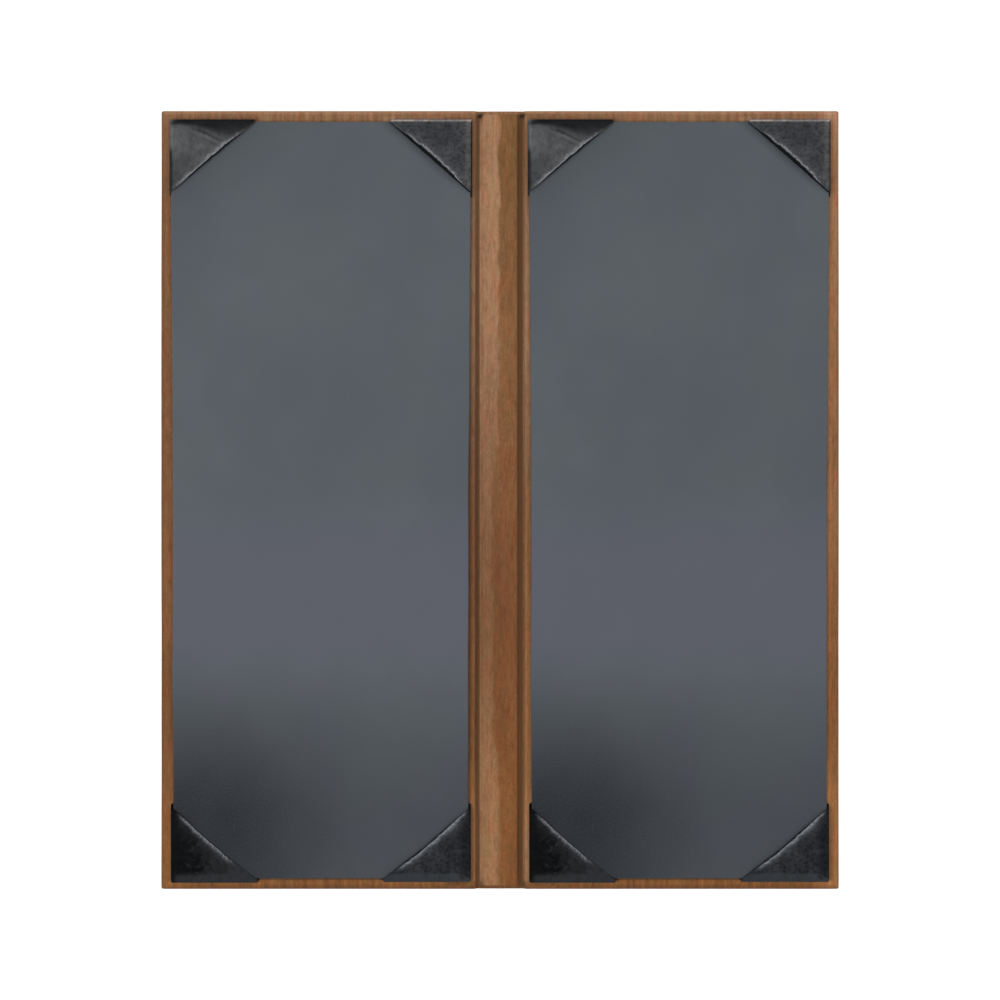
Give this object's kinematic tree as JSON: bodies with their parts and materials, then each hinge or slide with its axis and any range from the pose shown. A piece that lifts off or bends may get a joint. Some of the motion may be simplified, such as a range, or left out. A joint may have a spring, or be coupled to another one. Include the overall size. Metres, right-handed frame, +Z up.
{
  "type": "menu cover",
  "caption": "Tall book-style menu cover, shown open: wood-look leatherette case with hinged covers round a spine, dark panels inside with black corner pockets for menu sheets.",
  "frame": {"origin": "centre of the underside of the spine, on the surface that the open cover lies on", "axes": "+Z up out of the inside face, +Y towards the head of the menu, +X towards the back cover's fore edge (right, as the open cover is read)"},
  "size_m": [0.2524, 0.29, 0.0058],
  "materials": {
    "wood_look_leatherette": "satin",
    "greyboard": "matte",
    "spine_card": "matte",
    "panel_lining": "satin",
    "pocket_leatherette": "satin"
  },
  "bodies": {
    "spine": {"spine_board": "spine_card", "spine_outer_wrap": "wood_look_leatherette", "spine_lining_strip": "wood_look_leatherette", "front_hinge_fold": "wood_look_leatherette", "back_hinge_fold": "wood_look_leatherette"},
    "front_cover": {"front_cover_board": "greyboard", "front_cover_wrap": "wood_look_leatherette", "front_hinge_strip_wing": "wood_look_leatherette", "front_panel_board": "greyboard", "front_panel_lining": "panel_lining", "front_pocket_top_left": "pocket_leatherette", "front_pocket_top_right": "pocket_leatherette", "front_pocket_bottom_left": "pocket_leatherette", "front_pocket_bottom_right": "pocket_leatherette"},
    "back_cover": {"back_cover_board": "greyboard", "back_cover_wrap": "wood_look_leatherette", "back_hinge_strip_wing": "wood_look_leatherette", "back_panel_board": "greyboard", "back_panel_lining": "panel_lining", "back_pocket_top_left": "pocket_leatherette", "back_pocket_top_right": "pocket_leatherette", "back_pocket_bottom_left": "pocket_leatherette", "back_pocket_bottom_right": "pocket_leatherette"}
  },
  "joints": [
    {"name": "front_cover_hinge", "type": "hinge", "parent": "spine", "child": "front_cover", "pos_m": [-0.00785, 0, 0.0007], "axis": [0, 1, 0], "range_deg": [-90, 90], "deforming": ["front_hinge_fold"]},
    {"name": "back_cover_hinge", "type": "hinge", "parent": "spine", "child": "back_cover", "pos_m": [0.00785, 0, 0.0007], "axis": [0, -1, 0], "range_deg": [-90, 90], "deforming": ["back_hinge_fold"]}
  ]
}
